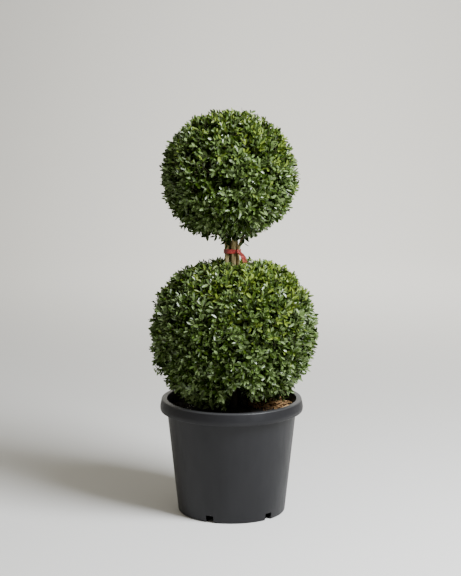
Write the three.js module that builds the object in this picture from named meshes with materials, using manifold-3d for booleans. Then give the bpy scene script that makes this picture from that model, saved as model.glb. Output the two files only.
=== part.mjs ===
// Double-ball box topiary in a round nursery pot, in millimetres.
// +Z is up, and the origin is the centre of the pot's flat underside.
// Four bare stems rise from the soil through the lower ball, are tied together in the gap,
// and carry the upper ball. Each ball is one clipped mass: a core with leafy shoots fused on it.
import * as THREE from "three";
import { mergeVertices } from "three/addons/utils/BufferGeometryUtils.js";
import Module from "manifold-3d";

const wasm = await Module();
wasm.setup();

// ---------------------------------------------------------------- driving sizes
const CLEARANCE = 0.4; // between neighbouring pieces
const ROUND_SEGMENTS = 48;

const POT_HEIGHT = 242;
const WALL = 2.4;
const FOOT_RADIUS = 113;
const FOOT_ROUNDING = 4;
const BODY_DRAFT = 23 / 217; // outward slope of the wall
const FLOOR_THICKNESS = 3;

const RIM_RADIUS = 150; // where the rolled rim is widest
const RIM_WIDEST = 225; // and how high that is
const RIM_FOOT = 217; // height of the rolled rim's curled lower edge
const RIM_CURL_RADIUS = 140.5; // where the curled edge ends
const LIP_RADIUS = 147; // outer edge of the lip on top

const DRAIN_COUNT = 5; // notches round the foot
const DRAIN_FIRST = -25.5; // degrees from the front, to the right
const DRAIN_WIDTH = 17;
const DRAIN_HEIGHT = 12;
const DRAIN_REACH = 12; // how far a notch reaches in from the foot's edge
const FLOOR_HOLE_COUNT = 4;
const FLOOR_HOLE_RADIUS = 7;
const FLOOR_HOLE_CIRCLE = 62;

const SOIL_LEVEL = 224; // at the stems
const SOIL_EDGE_DROP = 5; // the soil is this much lower at the wall
const SOIL_FLAT_RADIUS = 52;

const TIE_LEVEL = 554; // middle of the tie round the stems
const TIE_HEIGHT = 9;
const TIE_THICKNESS = 1.6;
const TIE_CENTRE = new THREE.Vector2(1.6, -0.6);
const TIE_HALF_WIDTH = 16.4;
const TIE_HALF_DEPTH = 11.4;
const TAIL_WIDTH = 7.5;
const TAIL_THICKNESS = 1.4;

// A ball's outline is a rounded body of revolution: half width, half heights up and down, and how
// square its shoulders are. Its skirt is where the clipped foliage stops above the ground.
const UPPER_BALL = {
  centre: new THREE.Vector3(-7, 0, 713),
  halfWidth: 142,
  halfUp: 134,
  halfDown: 134,
  squareness: 2.05,
  skirt: () => -Infinity,
  shoots: 36,
  leaves: 220,
  seed: 12,
};
const LOWER_BALL = {
  centre: new THREE.Vector3(4, 0, 395),
  halfWidth: 171.5,
  halfUp: 146,
  halfDown: 180,
  squareness: 2.2,
  skirt: lowerSkirt,
  shoots: 44,
  leaves: 290,
  seed: 29,
};
const TIP_REACH = 7; // how far a leaf's tip may stand over the outline
const CORE_DEPTH = 14; // of the core below the outline
const CORE_LUMP = 5;
const CORE_DETAIL = 4;

const LEAF_LENGTH = 31;
const LEAF_LENGTH_SPREAD = 0.35;
const LEAF_WIDTH = 18;
const LEAF_THICKNESS = 2.4;
const LEAF_TIP_SPREAD = 12;
const TWIG_RADIUS = 1.9;
const TWIG_LENGTH = 32;
const SHOOT_TIP_DEPTH = 6;
const END_LEAF_OVERLAP = 24; // of a shoot's end leaf with its twig
const LEAN = 1.4; // how far a shoot or a leaf leans off the outline's own direction
const SHOOT_LIFT = 0.25; // how far it bends up
const FACING_STRAY = 1.2; // how far a leaf's face strays from looking outward
const GOLDEN_ANGLE = Math.PI * (3 - Math.sqrt(5));

// ---------------------------------------------------------------- materials
const plastic = new THREE.MeshStandardMaterial({ color: 0x3a3b3d, roughness: 0.55, metalness: 0 });
const earth = new THREE.MeshStandardMaterial({ color: 0x2b2019, roughness: 0.95, metalness: 0 });
const bark = new THREE.MeshStandardMaterial({ color: 0x9c8a66, roughness: 0.85, metalness: 0 });
const leafGreen = new THREE.MeshStandardMaterial({ color: 0x3d6323, roughness: 0.45, metalness: 0 });
const tieRed = new THREE.MeshStandardMaterial({ color: 0xb3211c, roughness: 0.4, metalness: 0 });

// ---------------------------------------------------------------- solids and meshes
function solidOf(geometry) {
  const plain = geometry.index ? geometry.toNonIndexed() : geometry.clone();
  const bare = new THREE.BufferGeometry().setAttribute("position", plain.getAttribute("position"));
  const merged = mergeVertices(bare, 1e-3);
  return new wasm.Manifold(
    new wasm.Mesh({
      numProp: 3,
      vertProperties: merged.attributes.position.array,
      triVerts: new Uint32Array(merged.index.array),
    }),
  );
}

function geometryOf(solid) {
  const mesh = solid.getMesh();
  const geometry = new THREE.BufferGeometry();
  geometry.setAttribute("position", new THREE.BufferAttribute(mesh.vertProperties, 3));
  geometry.setIndex(new THREE.BufferAttribute(mesh.triVerts, 1));
  geometry.computeVertexNormals();
  return geometry;
}

function named(name, geometry, material) {
  const mesh = new THREE.Mesh(geometry, material);
  mesh.name = name;
  return mesh;
}

// A closed body of revolution about +Z from [radius, height] pairs, walked anticlockwise.
function turned(profile, segments = ROUND_SEGMENTS) {
  const points = profile.map(([radius, height]) => new THREE.Vector2(radius, height));
  return new THREE.LatheGeometry(points, segments).rotateX(Math.PI / 2);
}

// One tapering limb along a curve: a cylinder whose rings are carried to the curve. Radius gives
// the limb's radius at a share of its length. It is made again, fatter, to cut sockets.
function limbGeometry(limb, extra = 0) {
  const { curve, radius, sides, steps, flatFoot } = limb;
  const geometry = new THREE.CylinderGeometry(1, 1, 1, sides, steps);
  const position = geometry.getAttribute("position");
  const point = new THREE.Vector3();
  for (let i = 0; i < position.count; i++) {
    point.fromBufferAttribute(position, i);
    const share = point.y + 0.5;
    const centre = curve.getPoint(share);
    const along = share < 0.001 && flatFoot ? new THREE.Vector3(0, 0, 1) : curve.getTangent(share);
    const side = new THREE.Vector3(1, 0, 0).addScaledVector(along, -along.x).normalize();
    const front = new THREE.Vector3().crossVectors(along, side);
    const reach = radius(share) + extra;
    centre.addScaledVector(side, point.x * reach).addScaledVector(front, -point.z * reach);
    if (share > 0.999) centre.addScaledVector(along, extra);
    position.setXYZ(i, centre.x, centre.y, centre.z);
  }
  return geometry;
}

// Random numbers from 0 to 1, the same ones each time.
function seeded(seed) {
  let state = seed >>> 0;
  return () => {
    state = (state + 0x6d2b79f5) >>> 0;
    let mixed = Math.imul(state ^ (state >>> 15), 1 | state);
    mixed = (mixed + Math.imul(mixed ^ (mixed >>> 7), 61 | mixed)) ^ mixed;
    return ((mixed ^ (mixed >>> 14)) >>> 0) / 4294967296;
  };
}

// ---------------------------------------------------------------- pot and soil
const outerWall = (height) => FOOT_RADIUS + BODY_DRAFT * height;

function potBody() {
  const top = POT_HEIGHT;
  const inner = (height) => outerWall(height) - WALL;
  return turned([
    [0, 0],
    [outerWall(0) - FOOT_ROUNDING, 0],
    [outerWall(0) - 0.3 * FOOT_ROUNDING, 0.3 * FOOT_ROUNDING],
    [outerWall(FOOT_ROUNDING), FOOT_ROUNDING],
    [outerWall(top - 4), top - 4],
    [LIP_RADIUS - 2.6, top - 3],
    [RIM_RADIUS - WALL, RIM_WIDEST],
    [RIM_RADIUS - 4.4, RIM_FOOT + 3.6],
    [RIM_CURL_RADIUS, RIM_FOOT + 1.9],
    [RIM_CURL_RADIUS, RIM_FOOT],
    [RIM_RADIUS - 5, RIM_FOOT + 0.8],
    [RIM_RADIUS - 1.2, RIM_FOOT + 4],
    [RIM_RADIUS, RIM_WIDEST],
    [LIP_RADIUS, top - 2.4],
    [LIP_RADIUS - 2.2, top],
    [inner(top) + 2, top],
    [inner(top), top - 2.4],
    [inner(FLOOR_THICKNESS), FLOOR_THICKNESS],
    [0, FLOOR_THICKNESS],
  ]);
}

function drainNotch(degrees) {
  const depth = 2 * DRAIN_REACH;
  const block = new THREE.BoxGeometry(DRAIN_WIDTH, depth, 2 * DRAIN_HEIGHT);
  const front = -outerWall(0);
  return block.translate(0, front, 0).rotateZ(THREE.MathUtils.degToRad(degrees));
}

function floorHole(index) {
  const hole = new THREE.CylinderGeometry(FLOOR_HOLE_RADIUS, FLOOR_HOLE_RADIUS, 4 * FLOOR_THICKNESS, 12);
  const turn = ((index + 0.5) / FLOOR_HOLE_COUNT) * 2 * Math.PI;
  return hole.rotateX(Math.PI / 2).translate(FLOOR_HOLE_CIRCLE, 0, 0).rotateZ(turn);
}

function potGeometry() {
  const cuts = [];
  for (let i = 0; i < DRAIN_COUNT; i++) {
    cuts.push(solidOf(drainNotch(DRAIN_FIRST + (i * 360) / DRAIN_COUNT)));
  }
  for (let i = 0; i < FLOOR_HOLE_COUNT; i++) cuts.push(solidOf(floorHole(i)));
  return geometryOf(solidOf(potBody()).subtract(wasm.Manifold.union(cuts)));
}

function soilGeometry() {
  const inner = (height) => outerWall(height) - WALL - CLEARANCE;
  const bottom = FLOOR_THICKNESS + CLEARANCE;
  const edge = SOIL_LEVEL - SOIL_EDGE_DROP;
  return turned([
    [0, bottom],
    [inner(bottom), bottom],
    [inner(edge), edge],
    [SOIL_FLAT_RADIUS, SOIL_LEVEL],
    [0, SOIL_LEVEL],
  ]);
}

// ---------------------------------------------------------------- stems and boughs
// Each stem: where it stands, where it passes the tie, where it enters the upper ball, its tip,
// and its radius at the tie.
const STEMS = {
  stem_left: { foot: [-27, -5], tie: [-9.4, -1.8], neck: [-13.2, -1.6], tip: [-44, -12, 668], radius: 4.6 },
  stem_back: { foot: [-6, 21], tie: [9.6, 5.4], neck: [8.6, 8.4], tip: [-10, 36, 690], radius: 4.2 },
  stem_front: { foot: [5, -18], tie: [3.5, -4.9], neck: [4.4, -5.4], tip: [6, -22, 704], radius: 5.2 },
  stem_right: { foot: [28, 2], tie: [14.3, -3.2], neck: [20.6, -3], tip: [54, 6, 672], radius: 2.9 },
};
const MID_LEVEL = 400;
const NECK_LEVEL = 580;
const ROOT_FLARE = 0.45; // of the radius, at the soil
const FLARE_SHARE = 0.035; // of the stem's length
const STEM_TAPER = 0.4; // from the tie's radius, down to the soil and up to the tip

function stemLimb({ foot, tie, neck, tip, radius }) {
  const mid = foot.map((value, axis) => 0.55 * value + 0.45 * tie[axis]);
  const curve = new THREE.CatmullRomCurve3([
    new THREE.Vector3(foot[0], foot[1], SOIL_LEVEL + CLEARANCE),
    new THREE.Vector3(mid[0], mid[1], MID_LEVEL),
    new THREE.Vector3(tie[0], tie[1], TIE_LEVEL),
    new THREE.Vector3(neck[0], neck[1], NECK_LEVEL),
    new THREE.Vector3(...tip),
  ]);
  const tapered = (share) =>
    radius * (1 + STEM_TAPER * (0.6 - share) + ROOT_FLARE * Math.exp(-share / FLARE_SHARE));
  return { curve, radius: tapered, sides: 8, steps: 9, flatFoot: true };
}

// Each bough leaves a stem below the upper ball and ends inside that ball.
const BOUGHS = {
  bough_left: { from: "stem_left", root: [-12, -3, 572], bend: [-27, -10, 591], tip: [-56, -22, 628] },
  bough_right: { from: "stem_right", root: [19, -4, 574], bend: [35, -9, 592], tip: [70, -18, 622] },
};
const BOUGH_ROOT_RADIUS = 2.6;
const BOUGH_TIP_RADIUS = 1.7;

function boughLimb({ root, bend, tip }) {
  const curve = new THREE.CatmullRomCurve3([root, bend, tip].map((p) => new THREE.Vector3(...p)));
  const radius = (share) => THREE.MathUtils.lerp(BOUGH_ROOT_RADIUS, BOUGH_TIP_RADIUS, share);
  return { curve, radius, sides: 6, steps: 3 };
}

const limbsOf = (table, make) =>
  Object.fromEntries(Object.entries(table).map(([name, sizes]) => [name, make(sizes)]));
const stemLimbs = limbsOf(STEMS, stemLimb);
const boughLimbs = limbsOf(BOUGHS, boughLimb);
const allLimbs = [...Object.values(stemLimbs), ...Object.values(boughLimbs)];
const limbSockets = wasm.Manifold.union(allLimbs.map((limb) => solidOf(limbGeometry(limb, CLEARANCE))));

// A bough's root is cut to its stem's side, with the clearance between them.
function boughGeometry(name) {
  const stem = stemLimbs[BOUGHS[name].from];
  const cut = solidOf(limbGeometry(boughLimbs[name])).subtract(solidOf(limbGeometry(stem, CLEARANCE)));
  const outer = cut.decompose().sort((a, b) => b.volume() - a.volume())[0];
  return geometryOf(outer);
}

// The tie's knot is at the right of the stems, and one tail hangs from it.
const knotCentre = new THREE.Vector3(TIE_CENTRE.x + 13, TIE_CENTRE.y - 9.5, TIE_LEVEL);
const tailCurve = new THREE.CatmullRomCurve3(
  [[0, -0.4, 0], [6, -2.4, -4.5], [11.5, -4, -12], [14.5, -4.5, -20]].map(([x, y, z]) =>
    knotCentre.clone().add(new THREE.Vector3(x, y, z)),
  ),
);
const keptClear = [...allLimbs, { curve: tailCurve, radius: () => 0.6 * TAIL_WIDTH }];

// ---------------------------------------------------------------- clipped balls
// Where the lower ball's foliage stops above the soil: low all round, lifted over a hollow at the
// front and a little at the front right. Azimuth 0 is the front, and it grows to the right.
function lowerSkirt(azimuth) {
  const near = (degrees, width) => {
    const away = Math.abs(THREE.MathUtils.euclideanModulo(azimuth - degrees + 180, 360) - 180);
    return Math.exp(-((away / width) ** 2));
  };
  return 230 + 22 * near(4, 12) + 12 * near(40, 22);
}

// How far a ball's outline is from its centre in a unit direction.
function outlineReach(ball, direction) {
  const half = direction.z > 0 ? ball.halfUp : ball.halfDown;
  const across = Math.hypot(direction.x, direction.y) / ball.halfWidth;
  const upright = Math.abs(direction.z) / half;
  const power = ball.squareness;
  return (across ** power + upright ** power) ** (-1 / power);
}

// The skirt's height under or over a point.
function skirtAt(ball, point) {
  const azimuth = THREE.MathUtils.radToDeg(Math.atan2(point.x, -point.y));
  return ball.skirt(azimuth);
}

// The ball's core: a lumpy body a little inside the outline, flat where the skirt cuts it.
function coreSolid(ball) {
  const geometry = new THREE.IcosahedronGeometry(1, CORE_DETAIL);
  const position = geometry.getAttribute("position");
  const point = new THREE.Vector3();
  for (let i = 0; i < position.count; i++) {
    point.fromBufferAttribute(position, i).normalize();
    const lump = Math.sin(5 * point.x + ball.seed) * Math.sin(6 * point.y + 2) * Math.sin(5 * point.z + 1);
    const reach = outlineReach(ball, point) - CORE_DEPTH + CORE_LUMP * lump;
    point.multiplyScalar(reach).add(ball.centre);
    point.z = Math.max(point.z, skirtAt(ball, point) + 4);
    position.setXYZ(i, point.x, point.y, point.z);
  }
  return solidOf(geometry);
}

// A leaf of eight faces lying along +Y from its root, with its face up +Z.
function leafGeometry(length) {
  const share = length / LEAF_LENGTH;
  const leaf = new THREE.OctahedronGeometry(1);
  leaf.scale((LEAF_WIDTH * share) / 2, length / 2, LEAF_THICKNESS / 2);
  return leaf.translate(0, length / 2, 0);
}

// Turns and moves a piece that lies along +Y, so that it lies along a direction from a root.
function placed(geometry, root, along, facing) {
  const side = new THREE.Vector3().crossVectors(along, facing).normalize();
  const up = new THREE.Vector3().crossVectors(side, along);
  const matrix = new THREE.Matrix4().makeBasis(side, along, up).setPosition(root);
  return geometry.applyMatrix4(matrix);
}

// Whether every corner of a piece is inside the ball's space and clear of every limb.
function keepsItsSpace(geometry, ball) {
  const position = geometry.getAttribute("position");
  const point = new THREE.Vector3();
  for (let i = 0; i < position.count; i++) {
    point.fromBufferAttribute(position, i);
    const from = point.clone().sub(ball.centre);
    const reach = outlineReach(ball, from.clone().normalize());
    if (from.length() > reach + TIP_REACH || point.z < skirtAt(ball, point)) return false;
    if (keptClear.some((limb) => nearLimb(limb, point))) return false;
  }
  return true;
}

const LIMB_SAMPLES = 40;
const LEAF_TO_LIMB = 5;

function nearLimb(limb, point) {
  limb.samples ??= limb.curve.getPoints(LIMB_SAMPLES);
  const clear = LEAF_TO_LIMB + limb.radius(0.5);
  return limb.samples.some((sample) => sample.distanceTo(point) < clear);
}

// The unit direction of one of a ball's evenly spread places, counted from the top down.
function spreadDirection(index, count, random) {
  const height = 1 - (2 * (index + 0.5)) / count;
  const turn = index * GOLDEN_ANGLE + 0.5 * random();
  const across = Math.sqrt(1 - height * height);
  return new THREE.Vector3(across * Math.cos(turn), across * Math.sin(turn), height);
}

// The way a shoot or a leaf points: outward, bent up a little and leaning at random.
function leaningDirection(outward, random) {
  const lean = new THREE.Vector3(random() - 0.5, random() - 0.5, SHOOT_LIFT + random() - 0.5);
  return outward.clone().addScaledVector(lean, LEAN).normalize();
}

// The way a leaf's face looks: roughly outward.
function facingDirection(outward, random) {
  const stray = new THREE.Vector3(random() - 0.5, random() - 0.5, random() - 0.5);
  return outward.clone().addScaledVector(stray, FACING_STRAY).normalize();
}

// One shoot: a three-sided twig out of the core with a leaf at its end.
function shootPieces(ball, index, random) {
  const outward = spreadDirection(index, ball.shoots, random);
  const reach = outlineReach(ball, outward);
  const along = leaningDirection(outward, random);
  const tip = outward.clone().multiplyScalar(reach - SHOOT_TIP_DEPTH * random()).add(ball.centre);
  const facing = facingDirection(outward, random);
  const twig = new THREE.ConeGeometry(TWIG_RADIUS, TWIG_LENGTH, 3).translate(0, TWIG_LENGTH / 2, 0);
  const twigRoot = tip.clone().addScaledVector(along, -TWIG_LENGTH);
  const leafRoot = tip.clone().addScaledVector(along, -END_LEAF_OVERLAP);
  const leaf = leafGeometry(LEAF_LENGTH);
  return [placed(twig, twigRoot, along, facing), placed(leaf, leafRoot, along, facing)];
}

// One leaf rooted in the core, its tip at the outline.
function coreLeaf(ball, index, random) {
  const outward = spreadDirection(index, ball.leaves, random);
  const along = leaningDirection(outward, random);
  const length = LEAF_LENGTH * (1 + LEAF_LENGTH_SPREAD * (random() - 0.5));
  const tipReach = outlineReach(ball, outward) + LEAF_TIP_SPREAD * (random() - 0.5);
  const root = outward.clone().multiplyScalar(tipReach).add(ball.centre).addScaledVector(along, -length);
  return placed(leafGeometry(length), root, along, facingDirection(outward, random));
}

// A ball: core, shoots and leaves fused into one solid, cut clear of the limbs. A leaf whose root
// lost its twig is a loose scrap and is dropped.
function ballGeometry(ball) {
  const random = seeded(ball.seed);
  const solids = [coreSolid(ball)];
  for (let index = 0; index < ball.shoots; index++) {
    const pieces = shootPieces(ball, index, random);
    if (pieces.every((piece) => keepsItsSpace(piece, ball))) solids.push(...pieces.map(solidOf));
  }
  for (let index = 0; index < ball.leaves; index++) {
    const leaf = coreLeaf(ball, index, random);
    if (keepsItsSpace(leaf, ball)) solids.push(solidOf(leaf));
  }
  const fused = wasm.Manifold.union(solids).subtract(limbSockets);
  const whole = fused.decompose().sort((a, b) => b.volume() - a.volume())[0];
  return geometryOf(whole);
}

// ---------------------------------------------------------------- tie
// A flat plastic strip wound round the stems, with its knot and hanging tail.
function tieGeometry() {
  const loop = (grow, height) => {
    const wall = new THREE.CylinderGeometry(1, 1, height, 24).rotateX(Math.PI / 2);
    wall.scale(TIE_HALF_WIDTH + grow, TIE_HALF_DEPTH + grow, 1);
    return solidOf(wall.translate(TIE_CENTRE.x, TIE_CENTRE.y, TIE_LEVEL));
  };
  const knot = new THREE.IcosahedronGeometry(1, 1).scale(4.6, 3, 4.4).translate(...knotCentre);
  const strip = new THREE.Shape();
  const [thick, wide] = [TAIL_THICKNESS / 2, TAIL_WIDTH / 2];
  strip.moveTo(-thick, -wide).lineTo(thick, -wide).lineTo(thick, wide).lineTo(-thick, wide).closePath();
  const tail = new THREE.ExtrudeGeometry(strip, { steps: 6, extrudePath: tailCurve });
  const ring = loop(TIE_THICKNESS, TIE_HEIGHT).subtract(loop(0, 2 * TIE_HEIGHT));
  return geometryOf(wasm.Manifold.union([ring, solidOf(knot), solidOf(tail)]).subtract(limbSockets));
}

// ---------------------------------------------------------------- assembly
const topiary = new THREE.Group();
topiary.add(named("pot", potGeometry(), plastic));
topiary.add(named("soil", soilGeometry(), earth));
for (const name of Object.keys(STEMS)) topiary.add(named(name, limbGeometry(stemLimbs[name]), bark));
for (const name of Object.keys(BOUGHS)) topiary.add(named(name, boughGeometry(name), bark));
topiary.add(named("tie", tieGeometry(), tieRed));
topiary.add(named("lower_foliage", ballGeometry(LOWER_BALL), leafGreen));
topiary.add(named("upper_foliage", ballGeometry(UPPER_BALL), leafGreen));

export default topiary;
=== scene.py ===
"""Two-ball box topiary in a nursery pot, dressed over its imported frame. Metres, +Z up."""

import math

import bpy
import numpy as np
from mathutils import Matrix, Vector, noise


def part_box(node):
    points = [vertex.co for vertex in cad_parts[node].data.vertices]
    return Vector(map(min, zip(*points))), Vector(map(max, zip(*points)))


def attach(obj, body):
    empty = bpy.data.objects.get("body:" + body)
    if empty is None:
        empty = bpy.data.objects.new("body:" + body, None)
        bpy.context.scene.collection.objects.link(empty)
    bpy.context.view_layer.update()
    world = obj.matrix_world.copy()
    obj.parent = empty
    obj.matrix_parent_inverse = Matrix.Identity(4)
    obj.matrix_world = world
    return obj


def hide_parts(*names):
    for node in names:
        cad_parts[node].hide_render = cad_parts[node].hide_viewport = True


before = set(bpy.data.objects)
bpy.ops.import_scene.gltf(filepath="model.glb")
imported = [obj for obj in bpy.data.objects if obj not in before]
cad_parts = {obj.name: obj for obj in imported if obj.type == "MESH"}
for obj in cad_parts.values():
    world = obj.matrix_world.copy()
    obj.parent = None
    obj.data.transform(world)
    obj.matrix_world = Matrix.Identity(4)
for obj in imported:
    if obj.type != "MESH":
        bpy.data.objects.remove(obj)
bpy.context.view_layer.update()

GOLDEN_ANGLE = math.pi * (3 - math.sqrt(5))


# ---------------------------------------------------------------- camera, stage and lights
CAMERA_LENS = 115.9
CAMERA_PLACE = (-0.0023, -3.805, 1.167)
CAMERA_DIP = 10.29
PAPER_SIZE = (16, 14)
PAPER_MIDDLE = -1.6
PAPER_WALL = 6
PAPER_CURVE = 2.2
PLANT_MIDDLE = (0, 0, 0.45)


def set_camera():
    data = bpy.data.cameras.new("camera")
    data.lens = CAMERA_LENS
    data.clip_end = 60
    camera = bpy.data.objects.new("camera", data)
    camera.location = CAMERA_PLACE
    camera.rotation_euler = (math.radians(90 - CAMERA_DIP), 0, 0)
    bpy.context.collection.objects.link(camera)
    bpy.context.scene.camera = camera


def start_piece(name, add, **sizes):
    """Adds one primitive with nothing else selected, and names it."""
    bpy.ops.object.select_all(action="DESELECT")
    add(**sizes)
    piece = bpy.context.object
    piece.name = name
    piece.data.name = name
    return piece


def use_modifier(piece, kind, **settings):
    """Adds a modifier and applies it."""
    modifier = piece.modifiers.new(kind.lower(), kind)
    for key, value in settings.items():
        setattr(modifier, key, value)
    bpy.context.view_layer.objects.active = piece
    bpy.ops.object.modifier_apply(modifier=modifier.name)


def settle(piece):
    """Puts a piece's place into its mesh, so that its object sits at the origin."""
    bpy.ops.object.select_all(action="DESELECT")
    piece.select_set(True)
    bpy.context.view_layer.objects.active = piece
    bpy.ops.object.transform_apply(location=True, rotation=True, scale=True)


def make_paper_sweep(finish):
    """A sheet of background paper: a wide floor that curves up behind into a wall."""
    paper = start_piece("paper_sweep", bpy.ops.mesh.primitive_plane_add, size=1, location=(0, 0, 0))
    paper.scale = (*PAPER_SIZE, 1)
    paper.location = (0, PAPER_MIDDLE, -0.0005)
    settle(paper)
    back = PAPER_MIDDLE + PAPER_SIZE[1] / 2
    bpy.ops.object.mode_set(mode="EDIT")
    bpy.ops.mesh.select_all(action="DESELECT")
    bpy.ops.object.mode_set(mode="OBJECT")
    for edge in paper.data.edges:
        middle = sum((paper.data.vertices[i].co for i in edge.vertices), Vector()) / 2
        edge.select = middle.y > back - 0.1
    bpy.ops.object.mode_set(mode="EDIT")
    bpy.ops.mesh.select_mode(type="EDGE")
    bpy.ops.mesh.extrude_region_move(TRANSFORM_OT_translate={"value": (0, 0, PAPER_WALL)})
    bpy.ops.object.mode_set(mode="OBJECT")
    use_modifier(paper, "BEVEL", width=PAPER_CURVE, segments=24, limit_method="ANGLE")
    bpy.ops.object.shade_smooth()
    paper.data.materials.append(finish)


def add_softbox(name, place, target, size, power, colour):
    """A square soft lamp that faces its target."""
    data = bpy.data.lights.new(name, "AREA")
    data.shape = "RECTANGLE"
    data.size, data.size_y = size, size
    data.energy = power
    data.color = colour
    lamp = bpy.data.objects.new(name, data)
    lamp.location = place
    aim = Vector(target) - Vector(place)
    lamp.rotation_euler = aim.to_track_quat("-Z", "Y").to_euler()
    bpy.context.collection.objects.link(lamp)


def light_studio():
    """Warm light from all round, a key from the right, a weak fill, and a lamp on the paper behind."""
    world = bpy.data.worlds.new("studio")
    world.use_nodes = True
    background = world.node_tree.nodes["Background"]
    background.inputs["Color"].default_value = (1.0, 0.945, 0.8, 1)
    background.inputs["Strength"].default_value = 0.335
    bpy.context.scene.world = world
    add_softbox("key", (1.27, -0.97, 1.9), PLANT_MIDDLE, 1.0, 133, (0.93, 0.96, 1.0))
    add_softbox("fill", (2.0, -2.2, 2.8), PLANT_MIDDLE, 2.2, 12, (1.0, 0.97, 0.92))
    add_softbox("backdrop_lamp", (0.18, 2.66, 2.05), (2.39, 4.73, -0.68), 1.2, 74, (1.0, 0.985, 0.93))


# ---------------------------------------------------------------- finishes
def new_finish(name, colour, roughness, **sockets):
    """A finish with plain values on the shader's own sockets."""
    finish = bpy.data.materials.new(name)
    finish.use_nodes = True
    shader = finish.node_tree.nodes["Principled BSDF"]
    shader.inputs["Base Color"].default_value = (*colour, 1)
    shader.inputs["Roughness"].default_value = roughness
    for key, value in sockets.items():
        shader.inputs[key.replace("_", " ")].default_value = value
    return finish


def link(finish, source, out, target, into):
    finish.node_tree.links.new(source.outputs[out], target.inputs[into])


def add_noise(finish, stretch, scale, detail=4.0, roughness=0.55):
    """Noise that reads the piece's own coordinates, stretched by three factors."""
    nodes = finish.node_tree.nodes
    where = nodes.new("ShaderNodeTexCoord")
    mapping = nodes.new("ShaderNodeMapping")
    mapping.inputs["Scale"].default_value = stretch
    grain = nodes.new("ShaderNodeTexNoise")
    grain.inputs["Scale"].default_value = scale
    grain.inputs["Detail"].default_value = detail
    grain.inputs["Roughness"].default_value = roughness
    link(finish, where, "Object", mapping, "Vector")
    link(finish, mapping, "Vector", grain, "Vector")
    return grain


def add_axes(finish):
    """The piece's own X, Y and Z."""
    where = finish.node_tree.nodes.new("ShaderNodeTexCoord")
    axes = finish.node_tree.nodes.new("ShaderNodeSeparateXYZ")
    link(finish, where, "Object", axes, "Vector")
    return axes


def add_ramp(finish, source, out, stops):
    """Colours by place along a value."""
    ramp = finish.node_tree.nodes.new("ShaderNodeValToRGB")
    band = ramp.color_ramp
    while len(band.elements) < len(stops):
        band.elements.new(0.5)
    for element, (place, colour) in zip(band.elements, stops):
        element.position = place
        element.color = (*colour, 1)
    link(finish, source, out, ramp, "Fac")
    return ramp


def add_range(finish, source, out, low, high, start=0.3, end=0.7):
    """A value that goes from low to high while its source goes from start to end."""
    span = finish.node_tree.nodes.new("ShaderNodeMapRange")
    span.inputs["From Min"].default_value = start
    span.inputs["From Max"].default_value = end
    span.inputs["To Min"].default_value = low
    span.inputs["To Max"].default_value = high
    link(finish, source, out, span, "Value")
    return span


def add_mix(finish, source, out, share, other):
    """A mix that goes from its source to one fixed colour or number by a share."""
    mix = finish.node_tree.nodes.new("ShaderNodeMix")
    mix.data_type = "RGBA" if isinstance(other, tuple) else "FLOAT"
    mix.inputs["B"].default_value = other
    link(finish, source, out, mix, "A")
    link(finish, share, "Result", mix, "Factor")
    return mix


def add_bump(finish, source, out, strength, distance, before=None):
    """Relief from a value, on top of an earlier one where there is one."""
    bump = finish.node_tree.nodes.new("ShaderNodeBump")
    bump.inputs["Strength"].default_value = strength
    bump.inputs["Distance"].default_value = distance
    link(finish, source, out, bump, "Height")
    if before:
        link(finish, before, "Normal", bump, "Normal")
    return bump


def charcoal_plastic():
    """Moulded polypropylene: near-black grey with a fine grain, and a lip worn smooth, paler partly from
    wear and partly as a painted highlight.
    """
    finish = new_finish("charcoal_plastic", (0.014, 0.014, 0.016), 0.45, Specular_IOR_Level=0.27)
    shader = finish.node_tree.nodes["Principled BSDF"]
    cloud = add_noise(finish, (1, 1, 0.5), 14, 5)
    stops = [(0.3, (0.0082, 0.0082, 0.0097)), (0.7, (0.0124, 0.0124, 0.0144))]
    tone = add_ramp(finish, cloud, "Fac", stops)
    rub = add_noise(finish, (1, 1, 0.25), 70, 6, 0.65)
    sheen = add_range(finish, rub, "Fac", 0.4, 0.54)
    # The top of the lip is smoother from wear and paler: part of the paleness is wear, part is a painted
    # highlight.
    lip_wear_and_highlight = add_range(finish, add_axes(finish), "Z", 0.0, 1.0, POT_TOP - 0.0026, POT_TOP - 0.0004)
    lip = add_mix(finish, tone, "Color", lip_wear_and_highlight, (0.05, 0.05, 0.052, 1))
    link(finish, lip, "Result", shader, "Base Color")
    polish = add_mix(finish, sheen, "Result", lip_wear_and_highlight, 0.3)
    link(finish, polish, "Result", shader, "Roughness")
    grain = add_noise(finish, (1, 1, 1), 900, 3)
    fine = add_bump(finish, grain, "Fac", 0.25, 0.0002)
    flow = add_noise(finish, (1, 1, 0.12), 30, 3)
    broad = add_bump(finish, flow, "Fac", 0.3, 0.0006, before=fine)
    link(finish, broad, "Normal", shader, "Normal")
    return finish


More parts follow.
